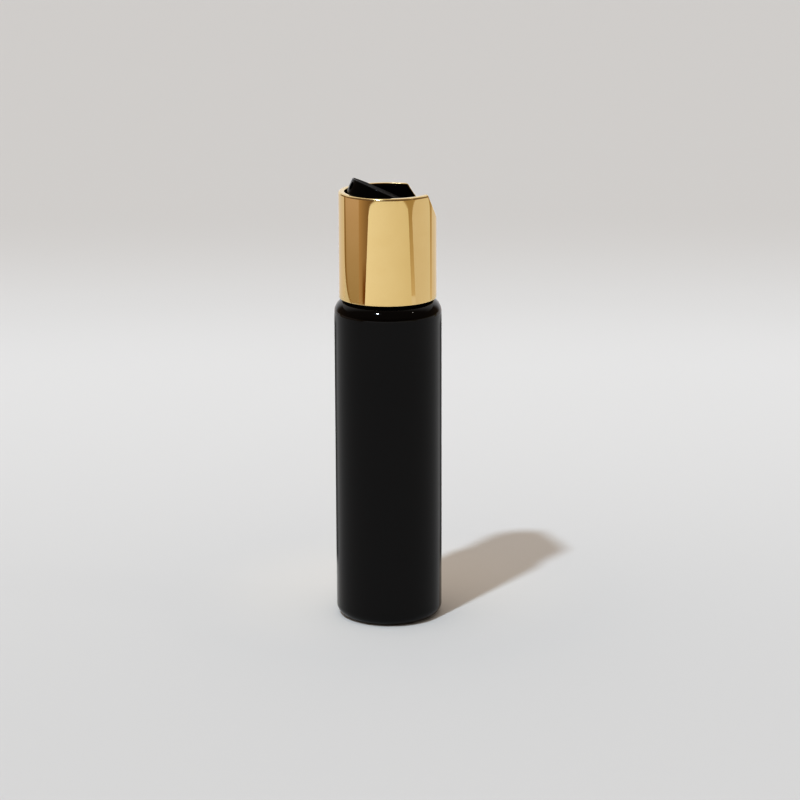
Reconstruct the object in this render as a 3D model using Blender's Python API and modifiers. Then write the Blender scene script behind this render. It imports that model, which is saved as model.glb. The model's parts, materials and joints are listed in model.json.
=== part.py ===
"""Slim cylinder bottle with a gold-shelled disc top closure, its disc tipped open.

The bottle stands on Z = 0 with its axis on Z. The spout of the disc faces -X, the finger scoop
faces +X, and the disc rocks on trunnions along Y. Lengths are in metres.
"""
import bmesh
import bpy
from math import asin, cos, degrees, pi, radians, sin, sqrt
from mathutils import Matrix, Vector

MM = 0.001

# Bottle
BOTTLE_RADIUS = 15.87 * MM
SHOULDER_HEIGHT = 97.4 * MM
SHOULDER_CORNER = 4.0 * MM
HEEL_CORNER = 3.3 * MM
BOTTLE_WALL = 0.8 * MM
RING_WIDTH = 1.3 * MM
PUSH_UP = 1.8 * MM

# Neck, to the 24-410 finish
NECK_HEIGHT = 16.4 * MM
NECK_RADIUS = 10.75 * MM
NECK_WALL = 1.55 * MM
NECK_FILLET = 0.8 * MM
MOUTH_ROUNDING = 0.4 * MM
THREAD_LEAD = 3.175 * MM
THREAD_TURNS = 1.5
THREAD_DEPTH = 1.05 * MM
THREAD_DROP = 2.0 * MM
NECK_THREAD_FOOT = 1.7 * MM
NECK_THREAD_CREST = 0.9 * MM
CAP_THREAD_FOOT = 1.3 * MM
CAP_THREAD_CREST = 0.5 * MM

# Liner and fits
LINER_THICKNESS = 1.0 * MM
LINER_OVERHANG = 1.2 * MM
SEAT_GAP = 0.3 * MM
THREAD_CLEARANCE = 0.3 * MM

# Closure body
SKIRT_WALL = 1.5 * MM
SKIRT_RECESS = 0.5 * MM
DECK_THICKNESS = 1.5 * MM
POCKET_DEPTH = 12.6 * MM
POCKET_WALL = 0.9 * MM
POCKET_FILLET = 0.6 * MM
BODY_CHAMFER = 0.3 * MM
BULB_SEAT_WIDTH = 2.3 * MM

# Gold shell
SHELL_WALL = 0.5 * MM
SHELL_CORNER = 0.9 * MM
SHELL_LIP = 0.05 * MM

# Finger scoop, a shallow hollow across the rim that runs parallel to the trunnions
SCOOP_RADIUS = 50.0 * MM
SCOOP_REACH = 5.32 * MM
SCOOP_DEPTH = 8.77 * MM

# Press disc
DISC_CLEARANCE = 0.35 * MM
DISC_OPEN_ANGLE = radians(25.1)
PIVOT_OFFSET = 2.3 * MM
PIVOT_DEPTH = 3.0 * MM
DISC_TOP = 1.2 * MM
DISC_WALL = 1.0 * MM
DISC_EDGE = 0.35 * MM
TRUNNION_RADIUS = 1.0 * MM
TRUNNION_INSET = 0.5 * MM
BULB_RADIUS = 5.0 * MM
OUTLET_RADIUS = 0.9 * MM
SPOUT_RADIUS = 1.2 * MM
SPOUT_ROOF = 1.0 * MM
SPOUT_WALL = 0.7 * MM

# How far a cutter runs past what it cuts, and the distances that count as touching
OVERRUN = 1.0 * MM
MERGE_DISTANCE = 0.001 * MM
WELD_DISTANCE = 0.003 * MM

# Radii that follow from the neck outwards
NECK_BORE = NECK_RADIUS - NECK_WALL
SKIRT_BORE = NECK_RADIUS + THREAD_DEPTH + THREAD_CLEARANCE
BODY_RADIUS = SKIRT_BORE + SKIRT_WALL
SHELL_BORE = BODY_RADIUS + SEAT_GAP
SHELL_RADIUS = SHELL_BORE + SHELL_WALL
POCKET_RADIUS = BODY_RADIUS - POCKET_WALL
SHELL_OPENING = POCKET_RADIUS - SHELL_LIP
DISC_RADIUS = SHELL_OPENING - DISC_CLEARANCE

# Heights that follow from the shoulder upwards
MOUTH_Z = SHOULDER_HEIGHT + NECK_HEIGHT
LINER_Z = MOUTH_Z + SEAT_GAP
DECK_BOTTOM = LINER_Z + LINER_THICKNESS + SEAT_GAP
DECK_TOP = DECK_BOTTOM + DECK_THICKNESS
RIM_Z = DECK_TOP + POCKET_DEPTH
BODY_TOP = RIM_Z - SHELL_WALL - SEAT_GAP
SHELL_BOTTOM = SHOULDER_HEIGHT + SEAT_GAP
BODY_BOTTOM = SHELL_BOTTOM + SKIRT_RECESS
PIVOT = Vector((-PIVOT_OFFSET, 0, RIM_Z - PIVOT_DEPTH))
THREAD_LOW = MOUTH_Z - THREAD_DROP - THREAD_LEAD * THREAD_TURNS

# Faceting
TURN_STEPS = 64
CORNER_STEPS = 7
INSIDE_STEPS = 4
SMALL_STEPS = 3
THREAD_STEPS = 32
SCOOP_STEPS = 180
BORE_STEPS = 24
BALL_RINGS = 16
ENVELOPE_STEPS = 16

SMOOTH_ANGLE = radians(35)
RUN_OUT_SHARE = 0.125
ROOT_SHARE = 0.35


def clear_scene():
    for thing in list(bpy.data.objects):
        bpy.data.objects.remove(thing, do_unlink=True)


def new_collection(name):
    made = bpy.data.collections.new(name)
    bpy.context.scene.collection.children.link(made)
    return made


def plastic_or_metal(name, colour, roughness, metallic=0.0):
    material = bpy.data.materials.new(name)
    material.use_nodes = True
    shader = material.node_tree.nodes["Principled BSDF"]
    shader.inputs["Base Color"].default_value = (*colour, 1.0)
    shader.inputs["Roughness"].default_value = roughness
    shader.inputs["Metallic"].default_value = metallic
    return material


def arc(centre_r, centre_z, radius, start, end, steps):
    """Points on a circular stretch of a profile, from one angle in degrees to another."""
    turned = [radians(start + (end - start) * i / steps) for i in range(steps + 1)]
    return [(centre_r + radius * cos(a), centre_z + radius * sin(a)) for a in turned]


def closed_on_axis(points):
    """The same profile, with its first and last points exactly on the axis."""
    return [(0, points[0][1]), *points[1:-1], (0, points[-1][1])]


def add_object(name, mesh, collection, material=None):
    made = bpy.data.objects.new(name, mesh)
    collection.objects.link(made)
    if material:
        mesh.materials.append(material)
    return made


def turned_solid(name, profile, collection, material=None, closed=False, steps=TURN_STEPS):
    """A solid of revolution about Z. The profile runs down its outer side."""
    mesh = bpy.data.meshes.new(name)
    edges = [(i, i + 1) for i in range(len(profile) - 1)]
    if closed:
        edges.append((len(profile) - 1, 0))
    mesh.from_pydata([(r, 0, z) for r, z in profile], edges, [])
    made = add_object(name, mesh, collection, material)
    screw = made.modifiers.new("turn", "SCREW")
    screw.steps = steps
    screw.render_steps = steps
    screw.use_merge_vertices = True
    screw.merge_threshold = MERGE_DISTANCE
    screw.use_smooth_shade = True
    return made


def plain_cylinder(name, radius, length, collection, steps=BORE_STEPS):
    """A capped cylinder about Z, centred on its own origin, with no corner on the X and Y axes."""
    mesh = bpy.data.meshes.new(name)
    form = bmesh.new()
    bmesh.ops.create_cone(form, cap_ends=True, segments=steps, radius1=radius, radius2=radius, depth=length)
    bmesh.ops.rotate(form, verts=form.verts, matrix=Matrix.Rotation(pi / steps, 3, "Z"))
    form.to_mesh(mesh)
    form.free()
    return add_object(name, mesh, collection)


def plain_box(name, low, high, collection):
    """A box between two corners."""
    mesh = bpy.data.meshes.new(name)
    form = bmesh.new()
    bmesh.ops.create_cube(form, size=1.0)
    low, high = Vector(low), Vector(high)
    bmesh.ops.scale(form, vec=high - low, verts=form.verts)
    bmesh.ops.translate(form, vec=(low + high) / 2, verts=form.verts)
    form.to_mesh(mesh)
    form.free()
    return add_object(name, mesh, collection)


def plain_ball(name, radius, collection):
    mesh = bpy.data.meshes.new(name)
    form = bmesh.new()
    bmesh.ops.create_uvsphere(form, u_segments=BORE_STEPS, v_segments=BALL_RINGS, radius=radius)
    form.to_mesh(mesh)
    form.free()
    return add_object(name, mesh, collection)


def combine(target, tool, operation):
    step = target.modifiers.new(f"{operation.lower()} {tool.name}", "BOOLEAN")
    step.operation = operation
    step.object = tool
    tool.hide_render = True
    tool.display_type = "WIRE"


def settle(piece):
    """Turns a piece's modifiers into its mesh and shades it smooth up to its real edges."""
    view = bpy.context.evaluated_depsgraph_get()
    mesh = bpy.data.meshes.new_from_object(piece.evaluated_get(view), depsgraph=view)
    form = bmesh.new()
    form.from_mesh(mesh)
    bmesh.ops.remove_doubles(form, verts=form.verts, dist=WELD_DISTANCE)
    bmesh.ops.dissolve_degenerate(form, dist=WELD_DISTANCE, edges=form.edges)
    form.to_mesh(mesh)
    form.free()
    piece.modifiers.clear()
    old = piece.data
    piece.data = mesh
    bpy.data.meshes.remove(old)
    mesh.name = piece.name
    mesh.shade_smooth()
    mesh.set_sharp_from_angle(angle=SMOOTH_ANGLE)


def thread_ridge(name, foot_radius, crest_radius, foot_width, crest_width, low_z, collection):
    """A helical ridge, rooted in the wall that carries it, whose ends run out into that wall."""
    depth = crest_radius - foot_radius
    root_radius = foot_radius - depth * ROOT_SHARE
    root_width = foot_width + (foot_width - crest_width) * ROOT_SHARE
    section = [(crest_radius, crest_width / 2), (crest_radius, -crest_width / 2),
               (root_radius, -root_width / 2), (root_radius, root_width / 2)]
    mesh = bpy.data.meshes.new(name)
    edges = [(i, (i + 1) % len(section)) for i in range(len(section))]
    mesh.from_pydata([(r, 0, low_z + z) for r, z in section], edges, [])
    ridge = add_object(name, mesh, collection)
    screw = ridge.modifiers.new("helix", "SCREW")
    screw.angle = 2 * pi * THREAD_TURNS
    screw.screw_offset = THREAD_LEAD * THREAD_TURNS
    screw.steps = int(THREAD_STEPS * THREAD_TURNS)
    screw.render_steps = screw.steps
    settle(ridge)
    form = bmesh.new()
    form.from_mesh(ridge.data)
    run_out = THREAD_STEPS * RUN_OUT_SHARE
    rings = len(form.verts) // len(section)
    for i, point in enumerate(form.verts):
        ring, place = divmod(i, len(section))
        sink = 1 - min(1, min(ring, rings - 1 - ring) / run_out)
        if section[place][0] == crest_radius:
            point.co.xy *= 1 - sink * depth * (1 + ROOT_SHARE / 2) / crest_radius
    bmesh.ops.holes_fill(form, edges=[e for e in form.edges if e.is_boundary], sides=len(section))
    bmesh.ops.recalc_face_normals(form, faces=form.faces)
    form.to_mesh(ridge.data)
    form.free()
    return ridge


def bottle_profile():
    """From the middle of the inside base, up the inside, over the mouth and down the outside."""
    radius, heel, wall = BOTTLE_RADIUS, HEEL_CORNER, BOTTLE_WALL
    corner = min(SHOULDER_CORNER, radius - NECK_RADIUS - NECK_FILLET)
    ring_inner = radius - heel - RING_WIDTH
    dome = (ring_inner ** 2 + PUSH_UP ** 2) / (2 * PUSH_UP)
    dome_z = PUSH_UP - dome
    outer_reach = degrees(asin(ring_inner / dome))
    inner_reach = degrees(asin(ring_inner / (dome + wall)))
    points = arc(0, dome_z, dome + wall, 90, 90 - inner_reach, INSIDE_STEPS)
    points += arc(radius - heel, heel, heel - wall, -90, 0, INSIDE_STEPS)
    points += arc(radius - corner, SHOULDER_HEIGHT - corner, corner - wall, 0, 90, INSIDE_STEPS)
    inside = SHOULDER_HEIGHT - wall + NECK_FILLET
    points += arc(NECK_BORE + NECK_FILLET, inside, NECK_FILLET, 270, 180, SMALL_STEPS)
    points += [(NECK_BORE, MOUTH_Z - MOUTH_ROUNDING), (NECK_BORE + MOUTH_ROUNDING, MOUTH_Z)]
    points += arc(NECK_RADIUS - MOUTH_ROUNDING, MOUTH_Z - MOUTH_ROUNDING, MOUTH_ROUNDING, 90, 0, SMALL_STEPS)
    outside = SHOULDER_HEIGHT + NECK_FILLET
    points += arc(NECK_RADIUS + NECK_FILLET, outside, NECK_FILLET, 180, 270, SMALL_STEPS)
    points += arc(radius - corner, SHOULDER_HEIGHT - corner, corner, 90, 0, CORNER_STEPS)
    points += arc(radius - heel, heel, heel, 0, -90, CORNER_STEPS)
    points += arc(0, dome_z, dome, 90 - outer_reach, 90, INSIDE_STEPS)
    return closed_on_axis(points)


def make_bottle(parts, cutters, material):
    bottle = turned_solid("bottle", bottle_profile(), parts, material)
    ridge = thread_ridge("neck_thread", NECK_RADIUS, NECK_RADIUS + THREAD_DEPTH,
                         NECK_THREAD_FOOT, NECK_THREAD_CREST, THREAD_LOW, cutters)
    combine(bottle, ridge, "UNION")
    settle(bottle)
    return bottle


def across_cap(name, radius, collection, steps):
    """A cylinder along Y that runs past both sides of the closure."""
    bar = plain_cylinder(name, radius, 2 * (SHELL_RADIUS + OVERRUN), collection, steps)
    bar.rotation_euler = (pi / 2, 0, 0)
    return bar


def scoop_cutter(name, extra, collection):
    """The hollow of the finger scoop, with extra taken off its surface all along."""
    start = Vector((SHELL_RADIUS - SCOOP_REACH, RIM_Z))
    foot = Vector((SHELL_RADIUS, RIM_Z - SCOOP_DEPTH))
    chord = foot - start
    away = Vector((-chord.y, chord.x)).normalized()
    centre = (start + foot) / 2 + away * sqrt(SCOOP_RADIUS ** 2 - (chord.length / 2) ** 2)
    cutter = across_cap(name, SCOOP_RADIUS + extra, collection, SCOOP_STEPS)
    cutter.location = (centre.x, 0, centre.y)
    return cutter


def cup_outline(radius, corner, top, bottom):
    """The outside of a round block with its top corner rounded, from the axis to the axis."""
    rounded = arc(radius - corner, top - corner, corner, 90, 0, SMALL_STEPS)
    return [(0, top), *rounded, (radius, bottom), (0, bottom)]


def make_shell(parts, cutters, material):
    """Drawn cup with a turned-in rim that follows the opening and the scoop."""
    outline = cup_outline(SHELL_RADIUS, SHELL_CORNER, RIM_Z, SHELL_BOTTOM)
    shell = turned_solid("cap_shell", outline, parts, material)
    combine(shell, scoop_cutter("shell_scoop", 0, cutters), "DIFFERENCE")
    outline = cup_outline(SHELL_BORE, SHELL_CORNER - SHELL_WALL, RIM_Z - SHELL_WALL, SHELL_BOTTOM - OVERRUN)
    core = turned_solid("shell_core", outline, cutters)
    core.rotation_euler = (0, 0, pi / TURN_STEPS)
    combine(core, scoop_cutter("core_scoop", SHELL_WALL, cutters), "DIFFERENCE")
    combine(shell, core, "DIFFERENCE")
    opening = plain_cylinder("shell_opening", SHELL_OPENING, 2 * SCOOP_DEPTH, cutters, TURN_STEPS)
    opening.location = (0, 0, RIM_Z)
    combine(shell, opening, "DIFFERENCE")
    settle(shell)
    return shell


def bulb_seat(cutters):
    """The boss on the deck that carries the dished seat of the disc's sealing bulb."""
    radius = OUTLET_RADIUS + BULB_SEAT_WIDTH
    dish = BULB_RADIUS + SEAT_GAP
    reach = degrees(asin(radius / dish))
    root = DECK_TOP - DECK_THICKNESS / 2
    outline = arc(0, PIVOT.z, dish, -90, reach - 90, SMALL_STEPS)
    outline += [(radius, root), (0, root)]
    boss = turned_solid("bulb_seat", closed_on_axis(outline), cutters, steps=BORE_STEPS)
    boss.location = (PIVOT.x, 0, 0)
    return boss


def make_cap_body(parts, cutters, material):
    """Threaded skirt, deck with the discharge hole, and the pocket that the disc rocks in."""
    fillet = POCKET_FILLET
    outline = [(0, DECK_TOP)]
    outline += arc(POCKET_RADIUS - fillet, DECK_TOP + fillet, fillet, 270, 360, SMALL_STEPS)
    outline += [(POCKET_RADIUS, BODY_TOP), (BODY_RADIUS - BODY_CHAMFER, BODY_TOP),
                (BODY_RADIUS, BODY_TOP - BODY_CHAMFER), (BODY_RADIUS, BODY_BOTTOM),
                (SKIRT_BORE, BODY_BOTTOM), (SKIRT_BORE, DECK_BOTTOM), (0, DECK_BOTTOM)]
    body = turned_solid("cap_body", outline, parts, material)
    combine(body, bulb_seat(cutters), "UNION")
    hole = plain_cylinder("discharge_hole", OUTLET_RADIUS, 2 * (PIVOT.z - DECK_BOTTOM), cutters)
    hole.location = (PIVOT.x, 0, DECK_BOTTOM)
    combine(body, hole, "DIFFERENCE")
    sockets = across_cap("trunnion_sockets", TRUNNION_RADIUS + SEAT_GAP, cutters, BORE_STEPS)
    sockets.location = PIVOT
    combine(body, sockets, "DIFFERENCE")
    combine(body, scoop_cutter("body_scoop", SHELL_WALL + SEAT_GAP, cutters), "DIFFERENCE")
    ridge = thread_ridge("cap_thread", SKIRT_BORE, SKIRT_BORE - THREAD_DEPTH,
                         CAP_THREAD_FOOT, CAP_THREAD_CREST, THREAD_LOW - THREAD_LEAD / 2, cutters)
    combine(body, ridge, "UNION")
    settle(body)
    return body


def make_liner(parts, material):
    inner, outer = NECK_BORE - LINER_OVERHANG, SKIRT_BORE - THREAD_CLEARANCE
    top = LINER_Z + LINER_THICKNESS
    outline = [(inner, top), (outer, top), (outer, LINER_Z), (inner, LINER_Z)]
    liner = turned_solid("sealing_liner", outline, parts, material, closed=True)
    settle(liner)
    return liner


def on_pivot(piece, pivot, location=(0, 0, 0), turn=(0, 0, 0)):
    """Places a piece of the level disc by its offset from the trunnions' axis."""
    piece.parent = pivot
    piece.location = location
    piece.rotation_euler = turn
    return piece


def sweep_of_wall(name, radius, pivot, collection):
    """The round wall of the disc turned about the trunnions' axis: all that it sweeps as it rocks."""
    half_width = sqrt(radius ** 2 - PIVOT_OFFSET ** 2)
    reach = asin(half_width / radius)
    angles = [reach * (1 - 2 * i / ENVELOPE_STEPS) for i in range(ENVELOPE_STEPS + 1)]
    outline = [(radius * cos(a) - PIVOT_OFFSET, radius * sin(a)) for a in angles]
    swept = turned_solid(name, closed_on_axis(outline), collection)
    return on_pivot(swept, pivot, turn=(pi / 2, 0, 0))


def disc_form(name, radius, corner, top, bottom, pivot, collection, cutters, material=None):
    """A level round block about the pivot. Its lower front is rounded to clear the pocket as it rocks."""
    form = turned_solid(name, cup_outline(radius, corner, top, bottom), collection, material)
    on_pivot(form, pivot, (PIVOT_OFFSET, 0, 0))
    wide = radius + OVERRUN
    relief = plain_box(name + "_relief", (-wide, -wide, bottom - OVERRUN), (0, wide, 0), cutters)
    on_pivot(relief, pivot)
    combine(relief, sweep_of_wall(name + "_sweep", radius, pivot, cutters), "DIFFERENCE")
    combine(form, relief, "DIFFERENCE")
    return form


def skirt_bottom():
    """Height of the skirt's edge about the pivot. Its back comes down onto the deck at full tilt."""
    lever = DISC_RADIUS + PIVOT_OFFSET
    drop = PIVOT.z - DECK_TOP - SEAT_GAP - lever * sin(DISC_OPEN_ANGLE)
    return -drop / cos(DISC_OPEN_ANGLE)


def add_trunnions(disc, pivot, cutters):
    tip = BODY_RADIUS - TRUNNION_INSET
    root = sqrt(DISC_RADIUS ** 2 - PIVOT_OFFSET ** 2) - DISC_WALL
    for side in (-1, 1):
        stub = plain_cylinder("trunnion", TRUNNION_RADIUS, tip - root, cutters)
        on_pivot(stub, pivot, (0, side * (tip + root) / 2, 0), (pi / 2, 0, 0))
        combine(disc, stub, "UNION")


def add_spout(disc, pivot, top, cutters):
    """The spout's rib and sealing bulb under the disc, and the way through them to the front wall."""
    spout_z = top - SPOUT_ROOF - SPOUT_RADIUS
    front = DISC_RADIUS - PIVOT_OFFSET - DISC_WALL / 2
    rib = plain_cylinder("spout_rib", SPOUT_RADIUS + SPOUT_WALL, front, cutters)
    on_pivot(rib, pivot, (-front / 2, 0, spout_z), (0, pi / 2, 0))
    combine(disc, rib, "UNION")
    wide = BULB_RADIUS + OVERRUN
    trim = plain_box("bulb_trim", (-wide, -wide, top - DISC_TOP / 2), (wide, wide, wide), cutters)
    on_pivot(trim, pivot)
    bulb = on_pivot(plain_ball("sealing_bulb", BULB_RADIUS, cutters), pivot)
    combine(bulb, trim, "DIFFERENCE")
    combine(disc, bulb, "UNION")

    length = DISC_RADIUS + OVERRUN
    spout = plain_cylinder("spout_bore", SPOUT_RADIUS, length, cutters)
    on_pivot(spout, pivot, (OUTLET_RADIUS - length / 2, 0, spout_z), (0, pi / 2, 0))
    combine(disc, spout, "DIFFERENCE")
    outlet = plain_cylinder("outlet_bore", OUTLET_RADIUS, wide, cutters)
    down = Vector((sin(DISC_OPEN_ANGLE), 0, -cos(DISC_OPEN_ANGLE)))
    on_pivot(outlet, pivot, down * wide / 2, (0, -DISC_OPEN_ANGLE, 0))
    combine(disc, outlet, "DIFFERENCE")


def make_disc(parts, cutters, material):
    """Rocking disc, built level about its pivot and tipped open with it."""
    pivot = bpy.data.objects.new("disc_pivot", None)
    parts.objects.link(pivot)
    pivot.location = PIVOT
    pivot.rotation_euler = (0, DISC_OPEN_ANGLE, 0)
    top, bottom = PIVOT_DEPTH, skirt_bottom()
    disc = disc_form("press_disc", DISC_RADIUS, DISC_EDGE, top, bottom, pivot, parts, cutters, material)
    hollow = disc_form("disc_hollow", DISC_RADIUS - DISC_WALL, DISC_EDGE, top - DISC_TOP, bottom - OVERRUN,
                       pivot, cutters, cutters)
    combine(disc, hollow, "DIFFERENCE")
    add_trunnions(disc, pivot, cutters)
    add_spout(disc, pivot, top, cutters)
    settle(disc)
    disc.data.transform(Matrix.Translation(disc.location))
    disc.location = (0, 0, 0)
    return disc


def main():
    clear_scene()
    parts = new_collection("disc_top_bottle")
    cutters = new_collection("cutters")
    black_pet = plastic_or_metal("black_pet", (0.008, 0.008, 0.008), 0.08)
    black_pp = plastic_or_metal("black_polypropylene", (0.009, 0.009, 0.008), 0.3)
    gold = plastic_or_metal("gold_anodised_aluminium", (0.83, 0.6, 0.3), 0.12, 1.0)
    foam = plastic_or_metal("liner_foam", (0.85, 0.85, 0.83), 0.7)
    make_bottle(parts, cutters, black_pet)
    make_liner(parts, foam)
    make_cap_body(parts, cutters, black_pp)
    make_shell(parts, cutters, gold)
    make_disc(parts, cutters, black_pp)


main()
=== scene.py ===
# %% [markdown]
# A slim cosmetic bottle with a disc top closure: a black blow-moulded bottle, a gold metal shell over a
# screw closure, and a black disc that rocks open to pour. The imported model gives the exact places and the
# joints. This lesson gives each piece its fine surface, its finish and its light.

import json
from math import asin, cos, degrees, pi, radians, sin, sqrt

import bmesh
import bpy
from mathutils import Matrix, Vector

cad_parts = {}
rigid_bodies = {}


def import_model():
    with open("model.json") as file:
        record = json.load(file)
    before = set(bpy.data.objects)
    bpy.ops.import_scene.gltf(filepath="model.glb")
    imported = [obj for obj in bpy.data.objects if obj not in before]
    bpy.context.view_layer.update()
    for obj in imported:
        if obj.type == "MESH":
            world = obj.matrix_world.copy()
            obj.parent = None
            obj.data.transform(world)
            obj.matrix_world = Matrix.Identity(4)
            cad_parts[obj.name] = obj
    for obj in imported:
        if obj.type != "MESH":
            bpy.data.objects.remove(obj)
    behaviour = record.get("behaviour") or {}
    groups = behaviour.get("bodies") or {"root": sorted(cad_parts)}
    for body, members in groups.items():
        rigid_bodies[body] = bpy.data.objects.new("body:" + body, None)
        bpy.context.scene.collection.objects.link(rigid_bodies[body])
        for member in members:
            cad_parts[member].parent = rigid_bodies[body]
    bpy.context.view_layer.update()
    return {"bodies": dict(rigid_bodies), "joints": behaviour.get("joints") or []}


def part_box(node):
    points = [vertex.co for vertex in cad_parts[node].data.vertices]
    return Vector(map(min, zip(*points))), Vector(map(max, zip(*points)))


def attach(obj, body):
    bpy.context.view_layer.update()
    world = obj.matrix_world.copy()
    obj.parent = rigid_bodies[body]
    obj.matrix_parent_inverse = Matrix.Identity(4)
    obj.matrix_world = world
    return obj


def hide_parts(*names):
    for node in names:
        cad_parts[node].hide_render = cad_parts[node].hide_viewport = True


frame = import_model()
MM = 0.001
for body in frame["bodies"]:
    print("body", body)

# %% [markdown]
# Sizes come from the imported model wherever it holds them, so the visible pieces always fit it. What its
# boxes don't show, such as a corner's radius, is given here as the real size in millimetres.

# %% Sizes
BOTTLE_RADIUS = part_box("bottle")[1].x
MOUTH_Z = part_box("bottle")[1].z
SHELL_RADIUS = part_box("cap_shell")[1].y
SHELL_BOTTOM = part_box("cap_shell")[0].z
RIM_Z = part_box("cap_shell")[1].z
BODY_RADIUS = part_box("cap_body")[1].y
BODY_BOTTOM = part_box("cap_body")[0].z
BODY_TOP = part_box("cap_body")[1].z
LINER_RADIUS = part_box("sealing_liner")[1].x
LINER_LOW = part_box("sealing_liner")[0].z
LINER_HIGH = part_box("sealing_liner")[1].z
TRUNNION_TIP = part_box("press_disc")[1].y
disc_tilt = next(joint for joint in frame["joints"] if joint["name"] == "disc_tilt")
PIVOT = Vector(disc_tilt["pos_m"])
DISC_OPEN_ANGLE = radians(disc_tilt["range_deg"][1])
SEAT_GAP = 0.3 * MM
print(f"bottle {2 * BOTTLE_RADIUS / MM:.1f} mm across, shell {2 * SHELL_RADIUS / MM:.1f} mm,",
      f"rim at {RIM_Z / MM:.1f} mm")

# %% [markdown]
# A few small helpers serve the whole lesson. A colour is written as the hex value that a colour picker
# shows and is turned to the linear value that a shader needs. A node is added with its settings and its
# links in one call, which keeps each node tree readable as a list. A link may start at a socket, or at a
# node, which then gives its first output.


# %% Colour and node helpers
def hex_colour(code):
    """The linear colour of an sRGB hex value such as #f3ce8e."""
    shown = [int(code[i:i + 2], 16) / 255 for i in (1, 3, 5)]
    linear = [c / 12.92 if c <= 0.04045 else ((c + 0.055) / 1.055) ** 2.4 for c in shown]
    return (*linear, 1.0)


def feed(tree, node, inputs):
    """Fills a node's sockets with values or links."""
    for key, value in inputs.items():
        if isinstance(value, bpy.types.Node):
            value = value.outputs[0]
        if isinstance(value, bpy.types.NodeSocket):
            tree.links.new(value, node.inputs[key])
        else:
            node.inputs[key].default_value = value


def add(tree, kind, inputs=None, **settings):
    """Adds a node with its own settings and its fed sockets."""
    node = tree.nodes.new(kind)
    for name, value in settings.items():
        setattr(node, name, value)
    feed(tree, node, inputs or {})
    return node


def maths(tree, operation, *values):
    """One step of arithmetic."""
    return add(tree, "ShaderNodeMath", dict(enumerate(values)), operation=operation)


def vector_maths(tree, operation, *values):
    """One number from an operation on vectors."""
    return add(tree, "ShaderNodeVectorMath", dict(enumerate(values)), operation=operation).outputs["Value"]


def vector(tree, **parts):
    """A vector from its named parts."""
    return add(tree, "ShaderNodeCombineXYZ", parts)


def axes(tree, value):
    """The X, Y and Z of a vector, by name."""
    return add(tree, "ShaderNodeSeparateXYZ", {0: value}).outputs


def linked(name, data):
    """A new object in the scene."""
    made = bpy.data.objects.new(name, data)
    bpy.context.scene.collection.objects.link(made)
    return made


print("linear value of mid grey", round(hex_colour("#808080")[0], 3))

# %% [markdown]
# The camera stands where the photographer stood: 850 mm in front of the bottle and 283 mm up, looking down
# by a little over 14 degrees through a long lens. These come from fitting the round base, shoulder and rim
# to their ellipses in the picture. The bottle itself is turned 17 degrees from that line of sight.

# %% Camera
IMAGE_WIDTH = 800
SENSOR_WIDTH = 36.0
FOCAL_PIXELS = 2942
VIEW_TURN = radians(-17)
CAMERA_ASIDE = 3.47 * MM
CAMERA_DISTANCE = 850 * MM
CAMERA_HEIGHT = 283.06 * MM
CAMERA_PITCH = radians(14.317)
CAMERA_ROLL = radians(-0.208)

VIEW = Matrix.Rotation(VIEW_TURN, 4, "Z")
aim = Matrix.Rotation(pi / 2 - CAMERA_PITCH, 4, "X") @ Matrix.Rotation(CAMERA_ROLL, 4, "Z")
camera = linked("camera", bpy.data.cameras.new("camera"))
camera.data.sensor_width = SENSOR_WIDTH
camera.data.lens = FOCAL_PIXELS / IMAGE_WIDTH * SENSOR_WIDTH
camera.matrix_world = VIEW @ Matrix.Translation((CAMERA_ASIDE, -CAMERA_DISTANCE, CAMERA_HEIGHT)) @ aim
bpy.context.scene.camera = camera


def pixel_of(point):
    """The pixel of the photograph in which a point shows."""
    seen = camera.matrix_world.inverted() @ Vector(point)
    return [IMAGE_WIDTH / 2 + side / -seen.z * FOCAL_PIXELS for side in (seen.x, -seen.y)]


print("middle of the base shows at pixel", [round(v, 1) for v in pixel_of((0, 0, 0))])

# %% [markdown]
# Most pieces of a bottle are turned shapes: one outline carried round an axis. The outline is a chain of
# points made of straight runs and arcs, and a Geometry Nodes tree carries it round a circle with Curve to
# Mesh. The Screw modifier could do the same, but the tree also passes on what is stored at each point of
# the outline, which the gold shell needs later.

# %% A tree that turns an outline round the axis
TURN_SEGMENTS = 256
PATH_RADIUS = 10 * MM
WELD = 0.001 * MM


def new_tree(name, numbers, counts=()):
    """An empty Geometry Nodes tree with named inputs, and the sockets that hand them in."""
    tree = bpy.data.node_groups.new(name, "GeometryNodeTree")
    tree.is_modifier = True
    kinds = {"Geometry": "Geometry", **dict.fromkeys(numbers, "Float"), **dict.fromkeys(counts, "Int"),
             "Material": "Material"}
    for label, kind in kinds.items():
        tree.interface.new_socket(label, in_out="INPUT", socket_type="NodeSocket" + kind)
    tree.interface.new_socket("Geometry", in_out="OUTPUT", socket_type="NodeSocketGeometry")
    return tree, add(tree, "NodeGroupInput").outputs


def close_tree(tree, geometry, given):
    """Ends a tree the way the export needs: plain geometry, with its material set."""
    real = add(tree, "GeometryNodeRealizeInstances", {0: geometry})
    painted = add(tree, "GeometryNodeSetMaterial", {"Geometry": real, "Material": given["Material"]})
    add(tree, "NodeGroupOutput", {0: painted})
    return tree


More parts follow.
